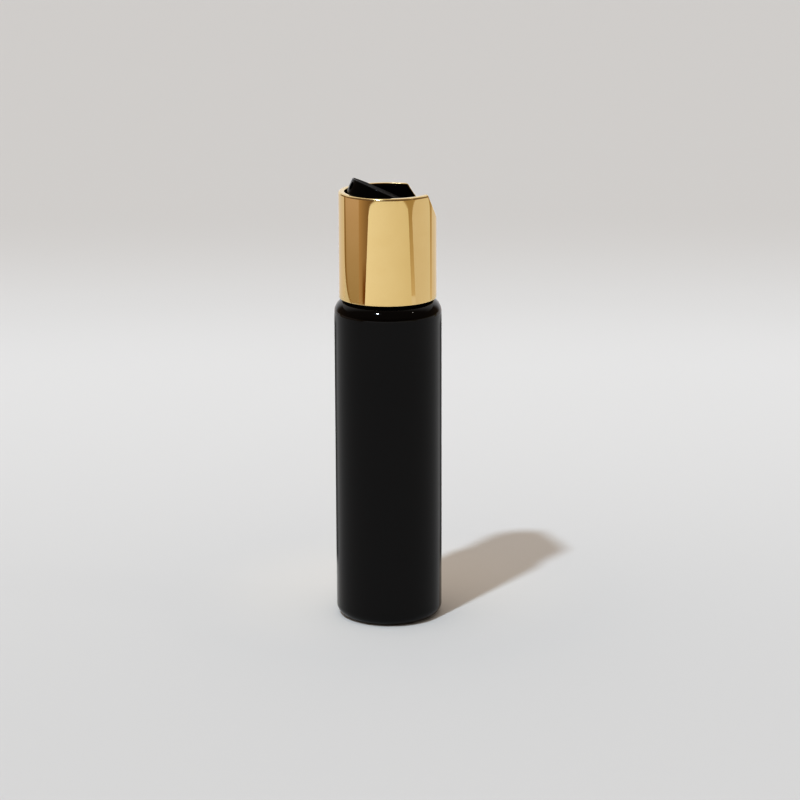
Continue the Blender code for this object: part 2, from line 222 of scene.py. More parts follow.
def turning_tree():
    """Outline in the XZ plane, carried round Z."""
    tree, given = new_tree("turned form", ("Path Radius", "Weld"), counts=("Segments",))
    shift = vector(tree, X=maths(tree, "MULTIPLY", given["Path Radius"], -1.0))
    outline = add(tree, "GeometryNodeMeshToCurve", {"Mesh": given["Geometry"]})
    profile = add(tree, "GeometryNodeTransform",
                  {"Geometry": outline, "Translation": shift, "Rotation": (pi / 2, 0, 0)})
    path = add(tree, "GeometryNodeCurvePrimitiveCircle",
               {"Resolution": given["Segments"], "Radius": given["Path Radius"]}, mode="RADIUS")
    upright = add(tree, "GeometryNodeSetCurveNormal", {"Curve": path}, mode="Z_UP")
    skin = add(tree, "GeometryNodeCurveToMesh", {"Curve": upright, "Profile Curve": profile})
    closed = add(tree, "GeometryNodeMergeByDistance", {"Geometry": skin, "Distance": given["Weld"]})
    smooth = add(tree, "GeometryNodeSetShadeSmooth", {"Geometry": closed})
    return close_tree(tree, smooth, given)


TURNING = turning_tree()
print("turning tree has", len(TURNING.nodes), "nodes")

# %% [markdown]
# A few functions lead from an outline to a finished mesh. `run_tree` fills a tree's inputs by their
# identifiers. `plain_mesh` freezes what the modifiers give into an ordinary mesh with its faces pointing
# outwards. `edge_crisp` marks the real edges, so that everything else shades smoothly.

# %% From outline to mesh
CRISP_ANGLE = radians(35)
SMALL_STEPS = 8


def arc(centre_r, centre_z, radius, start, end, steps=SMALL_STEPS):
    """Points on a round stretch of an outline, from one angle in degrees to another."""
    angles = [radians(start + (end - start) * i / steps) for i in range(steps + 1)]
    return [(centre_r + radius * cos(a), centre_z + radius * sin(a)) for a in angles]


def outline_object(name, points, closed=False):
    """A chain of edges in the XZ plane. An open one has its ends on the axis."""
    if not closed:
        points = [(0, points[0][1]), *points[1:-1], (0, points[-1][1])]
    edges = [(i, i + 1) for i in range(len(points) - 1)]
    if closed:
        edges.append((len(points) - 1, 0))
    mesh = bpy.data.meshes.new(name)
    mesh.from_pydata([(r, 0, z) for r, z in points], edges, [])
    return linked(name, mesh)


def run_tree(thing, tree, values):
    """Puts a tree on an object and fills its named inputs."""
    step = thing.modifiers.new(tree.name, "NODES")
    step.node_group = tree
    sockets = {s.name: s.identifier for s in tree.interface.items_tree if s.in_out == "INPUT"}
    for name, value in values.items():
        step[sockets[name]] = value


def frozen(thing):
    """Replaces an object's live modifiers by the mesh they give."""
    view = bpy.context.evaluated_depsgraph_get()
    mesh = bpy.data.meshes.new_from_object(thing.evaluated_get(view), depsgraph=view)
    thing.modifiers.clear()
    thing.data = mesh
    mesh.name = thing.name
    return mesh


def plain_mesh(thing):
    """Freezes an object into one closed mesh, faces outwards."""
    mesh = frozen(thing)
    form = bmesh.new()
    form.from_mesh(mesh)
    bmesh.ops.remove_doubles(form, verts=form.verts, dist=WELD)
    bmesh.ops.recalc_face_normals(form, faces=form.faces)
    form.to_mesh(mesh)
    form.free()
    return thing


def edge_crisp(thing):
    """Smooth shading up to the real edges, led by the large faces."""
    thing.data.shade_smooth()
    thing.data.set_sharp_from_angle(angle=CRISP_ANGLE)
    thing.modifiers.new("weighted normals", "WEIGHTED_NORMAL").keep_sharp = True
    mesh = frozen(thing)
    print(thing.name, "has", sum(len(p.vertices) - 2 for p in mesh.polygons), "triangles")


def turned(name, points, closed=False, segments=TURN_SEGMENTS):
    """An outline with the turning tree on it."""
    made = outline_object(name, points, closed)
    run_tree(made, TURNING, {"Segments": segments, "Path Radius": PATH_RADIUS, "Weld": WELD})
    return made


def carve(piece, tool, operation="DIFFERENCE"):
    """Joins a solid to a piece or cuts it away. The solid is used up."""
    step = piece.modifiers.new(operation, "BOOLEAN")
    step.operation = operation
    step.object = tool
    plain_mesh(piece)
    bpy.data.objects.remove(tool)


print("one turn has", TURN_SEGMENTS, "segments")

# %% [markdown]
# The bottle is blown from PET. A moulded preform, whose neck is already finished, is stretched and blown
# against a polished mould, so the body has an even thin wall, a soft shoulder and heel, and a base pushed
# up in the middle. A turned outline gives all of that. It runs from the middle of the inside base up the
# inner wall, over the mouth and down the outside to the small round gate mark under the base.

# %% Bottle outline
SHOULDER_HEIGHT = SHELL_BOTTOM - SEAT_GAP
SHOULDER_CORNER = 4.0 * MM
HEEL_CORNER = 3.3 * MM
BOTTLE_WALL = 0.8 * MM
RING_WIDTH = 1.3 * MM
PUSH_UP = 1.8 * MM
NECK_RADIUS = 10.75 * MM
NECK_BORE = 9.2 * MM
NECK_FILLET = 0.8 * MM
MOUTH_ROUNDING = 0.4 * MM
GATE_RADIUS = 1.4 * MM
GATE_HEIGHT = 0.35 * MM
GATE_ROUNDING = 0.15 * MM
RING_EDGE = 0.12 * MM
LEAD_IN = 0.2 * MM
FINE_STEPS = 24
BOTTLE_SEGMENTS = 384
ring_outer = BOTTLE_RADIUS - HEEL_CORNER
ring_inner = ring_outer - RING_WIDTH


def bottle_outline():
    """The whole section of the bottle's wall, from the axis to the axis."""
    dome = (ring_inner ** 2 + PUSH_UP ** 2) / (2 * PUSH_UP)
    dome_z = PUSH_UP - dome
    inner_reach = degrees(asin(ring_inner / (dome + BOTTLE_WALL)))
    outer_reach = degrees(asin(ring_inner / dome))
    gate_reach = degrees(asin(GATE_RADIUS / dome))
    gate_low = dome_z + sqrt(dome ** 2 - GATE_RADIUS ** 2) - GATE_HEIGHT
    corner_r, corner_z = BOTTLE_RADIUS - SHOULDER_CORNER, SHOULDER_HEIGHT - SHOULDER_CORNER
    mouth_z = MOUTH_Z - MOUTH_ROUNDING
    points = arc(0, dome_z, dome + BOTTLE_WALL, 90, 90 - inner_reach)
    points += arc(ring_outer, HEEL_CORNER, HEEL_CORNER - BOTTLE_WALL, -90, 0)
    points += arc(corner_r, corner_z, SHOULDER_CORNER - BOTTLE_WALL, 0, 90)
    points += arc(NECK_BORE + NECK_FILLET, SHOULDER_HEIGHT - BOTTLE_WALL + NECK_FILLET, NECK_FILLET, 270, 180)
    points += arc(NECK_BORE + MOUTH_ROUNDING, mouth_z, MOUTH_ROUNDING, 180, 90)
    points += arc(NECK_RADIUS - MOUTH_ROUNDING, mouth_z, MOUTH_ROUNDING, 90, 0)
    points += arc(NECK_RADIUS + NECK_FILLET, SHOULDER_HEIGHT + NECK_FILLET, NECK_FILLET, 180, 270)
    points += [(corner_r - LEAD_IN, SHOULDER_HEIGHT)]
    points += arc(corner_r, corner_z, SHOULDER_CORNER, 90, 0, FINE_STEPS)
    points += [(BOTTLE_RADIUS, corner_z - LEAD_IN), (BOTTLE_RADIUS, HEEL_CORNER + LEAD_IN)]
    points += arc(ring_outer, HEEL_CORNER, HEEL_CORNER, 0, -90, FINE_STEPS)
    points += [(ring_outer - RING_EDGE, 0), (ring_inner + RING_EDGE, 0)]
    points += arc(0, dome_z, dome, 90 - outer_reach, 90 - gate_reach)
    points += arc(GATE_RADIUS - GATE_ROUNDING, gate_low + GATE_ROUNDING, GATE_ROUNDING, 0, -90)
    return [*points, (0, gate_low)]


bottle = turned("blown_bottle", bottle_outline(), segments=BOTTLE_SEGMENTS)
print("shoulder at", round(SHOULDER_HEIGHT / MM, 1), "mm")

# %% [markdown]
# The standing ring of such a bottle carries a ring of short radial ribs, cut into the mould so that the
# warm base can't suck itself onto the belt. They repeat round the axis by a rule, so a small tree lifts the
# ring's points between the ribs along a wave that is read from each point's angle.

# %% Ribs of the standing ring
RIB_COUNT = 48
RIB_HEIGHT = 0.12 * MM
RIB_FLANK = 0.4


def ribbing_tree():
    """Lifts a flat ring into radial ribs, a number of them round the axis."""
    tree, given = new_tree("ribbed ring", ("Ribs", "Rib Height", "Inner Radius", "Outer Radius"))
    place = axes(tree, add(tree, "GeometryNodeInputPosition"))
    phase = maths(tree, "MULTIPLY", maths(tree, "ARCTAN2", place["Y"], place["X"]), given["Ribs"])
    lift = add(tree, "ShaderNodeMapRange",
               {"Value": maths(tree, "COSINE", phase), "From Min": -RIB_FLANK, "From Max": RIB_FLANK,
                "To Max": given["Rib Height"]}, interpolation_type="SMOOTHSTEP")
    flat = vector(tree, X=place["X"], Y=place["Y"])
    radius = vector_maths(tree, "LENGTH", flat)
    chosen = True
    limits = ((radius, "GREATER_THAN", "Inner Radius"), (radius, "LESS_THAN", "Outer Radius"),
              (place["Z"], "LESS_THAN", "Rib Height"))
    for value, operation, limit in limits:
        within = add(tree, "FunctionNodeCompare", {"A": value, "B": given[limit]}, operation=operation)
        chosen = add(tree, "FunctionNodeBooleanMath", {0: chosen, 1: within}, operation="AND")
    offset = vector(tree, Z=lift)
    moved = add(tree, "GeometryNodeSetPosition",
                {"Geometry": given["Geometry"], "Selection": chosen, "Offset": offset})
    return close_tree(tree, moved, given)


run_tree(bottle, ribbing_tree(), {
    "Ribs": RIB_COUNT, "Rib Height": RIB_HEIGHT, "Inner Radius": ring_inner + RING_EDGE / 2,
    "Outer Radius": ring_outer - RING_EDGE / 2})
plain_mesh(bottle)
print("the ring has", RIB_COUNT, "ribs, and the bottle", len(bottle.data.vertices), "points")

# %% [markdown]
# A 24-410 neck carries one and a half turns of thread. A thread is a section that follows a helix, so a
# tree sweeps a trapezoid along a spiral, which is reversed so that the thread is right-handed. Its size
# fades to nothing near both ends, as the cutter of a real mould runs out. The closure's thread is the same
# tree, facing inwards.

# %% Thread tree
RUN_OUT_SIZE = 0.02
SECTION_STEPS = 3


def thread_tree():
    """A ridge with a trapezoid section along a helix. Outward is 1 for a neck and -1 for a closure."""
    sizes = ("Turns", "Lead", "Radius", "Depth", "Foot Width", "Crest Width", "Rounding", "Low Height",
             "Outward", "Fade")
    tree, given = new_tree("thread ridge", sizes, counts=("Steps",))
    rise = maths(tree, "MULTIPLY", given["Turns"], given["Lead"])
    spiral = add(tree, "GeometryNodeCurveSpiral",
                 {"Resolution": given["Steps"], "Rotations": given["Turns"], "Start Radius": given["Radius"],
                  "End Radius": given["Radius"], "Height": rise, "Reverse": True})
    start = vector(tree, Z=given["Low Height"])
    placed = add(tree, "GeometryNodeTransform", {"Geometry": spiral, "Translation": start})
    upright = add(tree, "GeometryNodeSetCurveNormal", {"Curve": placed}, mode="Z_UP")
    along = add(tree, "GeometryNodeSplineParameter").outputs["Factor"]
    from_end = maths(tree, "MINIMUM", along, maths(tree, "SUBTRACT", 1.0, along))
    size = add(tree, "ShaderNodeMapRange", {"Value": from_end, "From Max": given["Fade"], "To Min": RUN_OUT_SIZE},
               interpolation_type="SMOOTHSTEP")
    section = add(tree, "GeometryNodeCurvePrimitiveQuadrilateral",
                  {"Bottom Width": given["Foot Width"], "Top Width": given["Crest Width"],
                   "Height": given["Depth"], "Offset": 0.0}, mode="TRAPEZOID")
    rounded = add(tree, "GeometryNodeFilletCurve",
                  {"Curve": section, "Count": SECTION_STEPS, "Radius": given["Rounding"],
                   "Limit Radius": True}, mode="POLY")
    turn = vector(tree, Z=maths(tree, "MULTIPLY", given["Outward"], -pi / 2))
    reach = maths(tree, "MULTIPLY", given["Outward"], given["Depth"])
    out = vector(tree, X=maths(tree, "MULTIPLY", reach, 0.5))
    faced = add(tree, "GeometryNodeTransform", {"Geometry": rounded, "Rotation": turn, "Translation": out})
    ridge = add(tree, "GeometryNodeCurveToMesh",
                {"Curve": upright, "Profile Curve": faced, "Fill Caps": True, "Scale": size})
    return close_tree(tree, ridge, given)


THREAD = thread_tree()
print("thread tree has", len(THREAD.nodes), "nodes")

# %% [markdown]
# The neck's thread is rooted a little inside the wall and joined to the bottle with a Boolean, so the
# bottle stays one closed skin. Its heights follow from the mouth, as the finish's standard gives them.

# %% Neck thread
THREAD_LEAD = 3.175 * MM
THREAD_TURNS = 1.5
THREAD_DEPTH = 1.05 * MM
THREAD_DROP = 2.0 * MM
THREAD_ROOT = 0.2 * MM
THREAD_ROUNDING = 0.2 * MM
THREAD_STEPS = 96
THREAD_LOW = MOUTH_Z - THREAD_DROP - THREAD_LEAD * THREAD_TURNS
RUN_OUT_SHARE = 0.1
NECK_THREAD_FOOT = 1.8 * MM
NECK_THREAD_CREST = 0.9 * MM


def thread_ridge(name, wall_radius, foot, crest, low, outward):
    """A thread on a round wall, from the widths of its foot and its crest."""
    made = outline_object(name, [(0, 0), (0, MM)])
    run_tree(made, THREAD, {"Turns": THREAD_TURNS, "Lead": THREAD_LEAD,
                            "Radius": wall_radius - outward * THREAD_ROOT, "Depth": THREAD_DEPTH + THREAD_ROOT,
                            "Foot Width": foot, "Crest Width": crest, "Rounding": THREAD_ROUNDING,
                            "Low Height": low, "Outward": outward, "Steps": THREAD_STEPS,
                            "Fade": RUN_OUT_SHARE})
    return plain_mesh(made)


neck_thread = thread_ridge("neck_thread", NECK_RADIUS, NECK_THREAD_FOOT, NECK_THREAD_CREST, THREAD_LOW, 1.0)
thread_heights = [p.co.z / MM for p in neck_thread.data.vertices]
print(f"thread from {min(thread_heights):.2f} to {max(thread_heights):.2f} mm up")
carve(bottle, neck_thread, "UNION")
edge_crisp(bottle)

# %% [markdown]
# Under the closure's deck lies a foam ring that the thread presses onto the mouth of the neck. It is
# stamped from sheet, so it is a flat ring with square edges that are only slightly eased.

# %% Sealing liner
LINER_INNER = 8.0 * MM
LINER_EASE = 0.12 * MM
EASE_STEPS = 4


def ring_outline(inner, outer, low, high, ease, steps):
    """The closed section of a flat ring with eased edges."""
    corners = [(inner, high, 180), (outer, high, 90), (outer, low, 0), (inner, low, -90)]
    points = []
    for radius, height, start in corners:
        r = radius + ease if radius == inner else radius - ease
        z = height - ease if height == high else height + ease
        points += arc(r, z, ease, start, start - 90, steps)
    return points


liner_outline = ring_outline(LINER_INNER, LINER_RADIUS, LINER_LOW, LINER_HIGH, LINER_EASE, EASE_STEPS)
liner = turned("foam_liner", liner_outline, closed=True)
edge_crisp(plain_mesh(liner))

# %% [markdown]
# The gold shell is drawn from thin aluminium sheet, like a deep cup, and its top is turned in to a rounded
# lip around the disc. The outline is the sheet's section: the outer skin, round the lip, and back down the
# inner skin. Each point also stores how deep in the sheet it lies, and how exposed it is to wear.

# %% Shell outline
SHELL_WALL = 0.5 * MM
SHELL_CORNER = 0.6 * MM
SHELL_OPENING = 12.65 * MM
EDGE_ROUNDING = 0.15 * MM
CORNER_Z = RIM_Z - SHELL_CORNER
WALL_RINGS = 40
FINE_LEAD = 0.03 * MM
SHELL_SEGMENTS = 512
EDGE_WEAR, CORNER_WEAR, RIM_WEAR = 0.6, 0.5, 0.25


def shell_outline():
    """The closed section of the sheet, with its depth in the sheet and its wear at every point."""
    bore = SHELL_RADIUS - SHELL_WALL
    corner_r = SHELL_RADIUS - SHELL_CORNER
    lip = SHELL_WALL / 2
    foot = SHELL_BOTTOM + EDGE_ROUNDING
    low, high = foot + FINE_LEAD, CORNER_Z - FINE_LEAD
    climb = [low + (high - low) * i / WALL_RINGS for i in range(WALL_RINGS + 1)]
    rows = [(p, 0.0, EDGE_WEAR) for p in arc(SHELL_RADIUS - EDGE_ROUNDING, foot, EDGE_ROUNDING, -90, 0)]
    rows += [((SHELL_RADIUS, z), 0.0, 0.0) for z in climb]
    rows += [(p, 0.0, CORNER_WEAR) for p in arc(corner_r, CORNER_Z, SHELL_CORNER, 0, 90, 2 * SMALL_STEPS)]
    rows += [((r, RIM_Z), 0.0, RIM_WEAR) for r in (corner_r - LEAD_IN, SHELL_OPENING + lip + LEAD_IN)]
    rows += [((r, z), (RIM_Z - z) / SHELL_WALL, EDGE_WEAR)
             for r, z in arc(SHELL_OPENING + lip, RIM_Z - lip, lip, 90, 270, 2 * SMALL_STEPS)]
    rows += [(p, 1.0, 0.0) for p in arc(corner_r, CORNER_Z, SHELL_CORNER - SHELL_WALL, 90, 0)]
    rows += [((bore, z), 1.0, 0.0) for z in reversed(climb)]
    rows += [(p, 1.0, EDGE_WEAR) for p in arc(bore + EDGE_ROUNDING, foot, EDGE_ROUNDING, 180, 270)]
    return rows


def store(thing, name, values):
    """Stores one number at each point of a mesh."""
    thing.data.attributes.new(name, "FLOAT", "POINT").data.foreach_set("value", values)


points, depths, wears = zip(*shell_outline())
shell = outline_object("gold_shell", points, closed=True)
store(shell, "sheet_depth", depths)
store(shell, "wear", wears)
run_tree(shell, TURNING, {"Segments": SHELL_SEGMENTS, "Path Radius": PATH_RADIUS, "Weld": WELD})
print("the sheet's section has", len(points), "points")

# %% [markdown]
# A finger scoop is pressed into the rim so that a fingertip can push the disc's back edge down. Its floor
# is part of a large cylinder that runs parallel to the disc's hinge. A tree lowers the cup's top until it
# follows that cylinder, and the smooth maximum gives the soft bend where a press tool leaves the flat rim.
# The inner skin follows a cylinder that is larger by the sheet's thickness.

# %% Finger scoop
SCOOP_RADIUS = 50.0 * MM
SCOOP_REACH = 5.32 * MM
SCOOP_DEPTH = 8.77 * MM
SCOOP_BEND = 0.35 * MM
STRETCH_HEIGHT = 14.0 * MM
scoop_start = Vector((SHELL_RADIUS - SCOOP_REACH, RIM_Z))
scoop_chord = Vector((SHELL_RADIUS, RIM_Z - SCOOP_DEPTH)) - scoop_start
scoop_away = Vector((-scoop_chord.y, scoop_chord.x)).normalized()
scoop_rise = sqrt(SCOOP_RADIUS ** 2 - (scoop_chord.length / 2) ** 2)
SCOOP_CENTRE = scoop_start + scoop_chord / 2 + scoop_away * scoop_rise


def scoop_tree():
    """Presses the top of a turned cup down to a cylinder along Y."""
    sizes = ("Rim Height", "Corner Height", "Stretch Height", "Centre X", "Centre Z", "Scoop Radius", "Sheet",
             "Bend")
    tree, given = new_tree("pressed scoop", sizes)
    place = axes(tree, add(tree, "GeometryNodeInputPosition"))
    depth = add(tree, "GeometryNodeInputNamedAttribute", {"Name": "sheet_depth"}, data_type="FLOAT")
    inset = maths(tree, "MULTIPLY", depth.outputs["Attribute"], given["Sheet"])
    radius = maths(tree, "ADD", given["Scoop Radius"], inset)
    aside = maths(tree, "SUBTRACT", place["X"], given["Centre X"])
    square = maths(tree, "SUBTRACT", *(maths(tree, "MULTIPLY", side, side) for side in (radius, aside)))
    under = maths(tree, "SQRT", maths(tree, "MAXIMUM", square, 0.0))
    scoop_floor = maths(tree, "SUBTRACT", given["Centre Z"], under)
    fall = maths(tree, "SUBTRACT", maths(tree, "SUBTRACT", given["Rim Height"], inset), scoop_floor)
    drop = maths(tree, "SMOOTH_MAX", fall, 0.0, given["Bend"])
    share = add(tree, "ShaderNodeMapRange",
                {"Value": place["Z"], "From Min": given["Stretch Height"], "From Max": given["Corner Height"]})
    lowering = maths(tree, "MULTIPLY", maths(tree, "MULTIPLY", drop, share), -1.0)
    offset = vector(tree, Z=lowering)
    moved = add(tree, "GeometryNodeSetPosition", {"Geometry": given["Geometry"], "Offset": offset})
    return close_tree(tree, moved, given)


run_tree(shell, scoop_tree(), {
    "Rim Height": RIM_Z, "Corner Height": CORNER_Z - WELD, "Stretch Height": RIM_Z - STRETCH_HEIGHT,
    "Centre X": SCOOP_CENTRE.x, "Centre Z": SCOOP_CENTRE.y, "Scoop Radius": SCOOP_RADIUS,
    "Sheet": SHELL_WALL, "Bend": SCOOP_BEND})
plain_mesh(shell)
edge_crisp(shell)
lip = [p.co for p in shell.data.vertices if p.co.xy.length < SHELL_OPENING + SHELL_WALL and abs(p.co.y) < MM]
print("the scoop's lip is", round((RIM_Z - max(p.z for p in lip if p.x > 0)) / MM, 2), "mm below the rim")

# %% [markdown]
# The closure's body is moulded in polypropylene: a skirt with the inner thread, a deck with the discharge
# hole, and above it the pocket in which the disc rocks. It starts as a turned shape. Plain tool shapes
# then cut the hole, the sockets of the disc's trunnions and the scoop, much as a mould's cores form them.

# %% Tool shapes
OVERRUN = 1.0 * MM
TOOL_SEGMENTS = 96


def bar(name, radius, length, direction="Z", middle=(0, 0, 0), segments=TOOL_SEGMENTS):
    """A round solid about an axis, or about its own turned direction."""
    half = length / 2
    outline = [(0, half), (radius, half), (radius, -half), (0, -half)]
    made = plain_mesh(turned(name, outline, segments=segments))
    turn = {"X": Matrix.Rotation(pi / 2, 4, "Y"), "Y": Matrix.Rotation(pi / 2, 4, "X"), "Z": Matrix.Identity(4)}
    made.data.transform(Matrix.Translation(middle) @ turn[direction])
    return made


def block(name, low, high):
    """A box between two corners, used only to cut."""
    mesh = bpy.data.meshes.new(name)
    form = bmesh.new()
    bmesh.ops.create_cube(form, size=1.0)
    low, high = Vector(low), Vector(high)
    bmesh.ops.scale(form, vec=high - low, verts=form.verts)
    bmesh.ops.translate(form, vec=(low + high) / 2, verts=form.verts)
    form.to_mesh(mesh)
    form.free()
    return linked(name, mesh)


print("pivot of the disc at", [round(v / MM, 2) for v in PIVOT], "mm")

# %% [markdown]
# The body's outline starts on the deck, goes up the pocket's wall and over its top, down the outside and
# back up inside the skirt. The raised seat for the disc's sealing bulb is a second turned shape, off the
# axis and right below the hinge.

# %% Closure body
POCKET_RADIUS = 12.7 * MM
POCKET_FILLET = 0.6 * MM
BODY_CHAMFER = 0.3 * MM
SKIRT_BORE = NECK_RADIUS + THREAD_DEPTH + SEAT_GAP
DECK_BOTTOM = LINER_HIGH + SEAT_GAP
DECK_THICKNESS = 1.5 * MM
DECK_TOP = DECK_BOTTOM + DECK_THICKNESS
OUTLET_RADIUS = 0.9 * MM
BULB_RADIUS = 5.0 * MM
BULB_SEAT_WIDTH = 2.3 * MM
TRUNNION_RADIUS = 1.0 * MM
EASE = 0.1 * MM
CAP_THREAD_FOOT = 1.4 * MM
CAP_THREAD_CREST = 0.5 * MM
SCOOP_SEGMENTS = 720
THROUGH = 2 * (SHELL_RADIUS + OVERRUN)


def body_outline():
    """From the middle of the deck's top round to the middle of its underside."""
    points = [(0, DECK_TOP), (POCKET_RADIUS - POCKET_FILLET - LEAD_IN, DECK_TOP)]
    points += arc(POCKET_RADIUS - POCKET_FILLET, DECK_TOP + POCKET_FILLET, POCKET_FILLET, 270, 360)
    points += arc(POCKET_RADIUS + EASE, BODY_TOP - EASE, EASE, 180, 90, EASE_STEPS)
    points += arc(BODY_RADIUS - BODY_CHAMFER, BODY_TOP - BODY_CHAMFER, BODY_CHAMFER, 90, 0)
    points += arc(BODY_RADIUS - EASE, BODY_BOTTOM + EASE, EASE, 0, -90, EASE_STEPS)
    points += arc(SKIRT_BORE + EASE, BODY_BOTTOM + EASE, EASE, 270, 180, EASE_STEPS)
    return [*points, (SKIRT_BORE, DECK_BOTTOM), (0, DECK_BOTTOM)]


def bulb_seat():
    """The boss on the deck with its dished top."""
    radius = OUTLET_RADIUS + BULB_SEAT_WIDTH
    dish = BULB_RADIUS + SEAT_GAP
    reach = degrees(asin(radius / dish))
    root = DECK_TOP - MM / 2
    outline = [*arc(0, PIVOT.z, dish, -90, reach - 90), (radius, root), (0, root)]
    boss = plain_mesh(turned("bulb_seat", outline, segments=TOOL_SEGMENTS))
    boss.data.transform(Matrix.Translation((PIVOT.x, 0, 0)))
    return boss


closure_body = plain_mesh(turned("closure_body", body_outline()))
carve(closure_body, bulb_seat(), "UNION")
carve(closure_body, bar("discharge_hole", OUTLET_RADIUS, 2 * (PIVOT.z - DECK_BOTTOM), "Z",
                        (PIVOT.x, 0, DECK_BOTTOM)))
carve(closure_body, bar("trunnion_sockets", TRUNNION_RADIUS + SEAT_GAP, THROUGH, "Y", PIVOT))
carve(closure_body, bar("body_scoop", SCOOP_RADIUS + SHELL_WALL + SEAT_GAP, THROUGH, "Y",
                        (SCOOP_CENTRE.x, 0, SCOOP_CENTRE.y), SCOOP_SEGMENTS))
cap_thread = thread_ridge("cap_thread", SKIRT_BORE, CAP_THREAD_FOOT, CAP_THREAD_CREST,
                          THREAD_LOW - THREAD_LEAD / 2, -1.0)
carve(closure_body, cap_thread, "UNION")
edge_crisp(closure_body)

# %% [markdown]
# The disc is a second moulding. It is a round lid with a short skirt, two trunnions that snap into the
# body, and under it a ball that seals the discharge hole while the disc lies level. When a finger presses
# the scoop's side, the ball turns until its bore meets the hole and the front lifts clear to pour. It is
# made level about its hinge. A round tool shape, all that the skirt sweeps as it rocks, trims its front.

# %% Rocking disc
DISC_RADIUS = 12.29 * MM
DISC_TOP = 1.2 * MM
DISC_WALL = 1.0 * MM
DISC_EDGE = 0.35 * MM
SPOUT_RADIUS = 1.2 * MM
SPOUT_WALL = 0.7 * MM
SPOUT_ROOF = 1.0 * MM
SWEEP_STEPS = 64
TILTED = Matrix.Translation(PIVOT) @ Matrix.Rotation(DISC_OPEN_ANGLE, 4, "Y")
disc_level = RIM_Z - PIVOT.z
hinge_inset = -PIVOT.x
skirt_lever = (DISC_RADIUS + hinge_inset) * sin(DISC_OPEN_ANGLE)
disc_bottom = -(PIVOT.z - DECK_TOP - SEAT_GAP - skirt_lever) / cos(DISC_OPEN_ANGLE)


def swept_by(radius):
    """Everything that a round wall reaches as it turns about the hinge."""
    reach = asin(sqrt(radius ** 2 - hinge_inset ** 2) / radius)
    angles = [reach * (1 - 2 * i / SWEEP_STEPS) for i in range(SWEEP_STEPS + 1)]
    barrel = plain_mesh(turned("swept", [(radius * cos(a) - hinge_inset, radius * sin(a)) for a in angles]))
    barrel.data.transform(Matrix.Rotation(pi / 2, 4, "X"))
    return barrel


def lid(name, radius, edge, top, bottom, low_edge):
    """A level round block about the hinge, with its lower front trimmed to clear the pocket."""
    outline = [(0, top), (radius - edge - LEAD_IN, top),
               *arc(radius - edge, top - edge, edge, 90, 0),
               *arc(radius - low_edge, bottom + low_edge, low_edge, 0, -90, EASE_STEPS), (0, bottom)]
    made = plain_mesh(turned(name, outline))
    made.data.transform(Matrix.Translation((hinge_inset, 0, 0)))
    wide = radius + OVERRUN
    trim = block("trim", (-wide, -wide, bottom - OVERRUN), (0, wide, 0))
    carve(trim, swept_by(radius))
    carve(made, trim)
    return made


disc = lid("rocking_disc", DISC_RADIUS, DISC_EDGE, disc_level, disc_bottom, EASE)
carve(disc, lid("hollow", DISC_RADIUS - DISC_WALL, DISC_EDGE, disc_level - DISC_TOP,
                disc_bottom - OVERRUN, EASE))
print("the disc's skirt is", round((disc_level - disc_bottom) / MM, 2), "mm deep")

# %% [markdown]
# The trunnions, the spout's rib and the ball are joined to the lid, and then the two bores are cut through
# them: the outlet runs straight up from the discharge hole when the disc is open, and the spout leads
# forward to the front wall. The finished disc is tipped open about the hinge, as in the photograph.

# %% Trunnions, ball and spout
BALL_RINGS = 48
trunnion_root = sqrt(DISC_RADIUS ** 2 - hinge_inset ** 2) - DISC_WALL
trunnion_length = TRUNNION_TIP - trunnion_root
trunnion_middle = (TRUNNION_TIP + trunnion_root) / 2
for side in (-1, 1):
    carve(disc, bar("trunnion", TRUNNION_RADIUS, trunnion_length, "Y", (0, side * trunnion_middle, 0)), "UNION")

spout_z = disc_level - SPOUT_ROOF - SPOUT_RADIUS
rib_length = DISC_RADIUS - hinge_inset - DISC_WALL / 2
spout_rib = bar("spout_rib", SPOUT_RADIUS + SPOUT_WALL, rib_length, "X", (-rib_length / 2, 0, spout_z))
carve(disc, spout_rib, "UNION")

ball = plain_mesh(turned("sealing_ball", arc(0, 0, BULB_RADIUS, 90, -90, BALL_RINGS), segments=TOOL_SEGMENTS))
wide = BULB_RADIUS + OVERRUN
carve(ball, block("above_lid", (-wide, -wide, disc_level - DISC_TOP / 2), (wide, wide, wide)))
carve(disc, ball, "UNION")

spout_length = DISC_RADIUS + OVERRUN
carve(disc, bar("spout_bore", SPOUT_RADIUS, spout_length, "X", (OUTLET_RADIUS - spout_length / 2, 0, spout_z)))
outlet = bar("outlet_bore", OUTLET_RADIUS, wide, "Z", (0, 0, -wide / 2))
outlet.data.transform(Matrix.Rotation(-DISC_OPEN_ANGLE, 4, "Y"))
carve(disc, outlet)
disc.data.transform(TILTED)
edge_crisp(disc)
print("disc reaches", round(max(p.co.z for p in disc.data.vertices) / MM, 2), "mm up")

# %% [markdown]
# Every material starts from the same few nodes: object coordinates, a Principled shader, and noise at a
# scale that is given as a real size in millimetres. Object coordinates are safe here because each finished
# piece has its origin at the centre of the base and isn't turned.

# %% Material helpers
NOISE_BAND = (0.3, 0.7)


def shade(tree, **inputs):
    """Fills the Principled shader's sockets with values or links."""
    feed(tree, tree.nodes["Principled BSDF"], {key.replace("_", " "): value for key, value in inputs.items()})


def new_material(name, **values):
    """A material, its tree and its object coordinates."""
    material = bpy.data.materials.new(name)
    material.use_nodes = True
    tree = material.node_tree
    shade(tree, **values)
    return material, tree, add(tree, "ShaderNodeTexCoord").outputs["Object"]


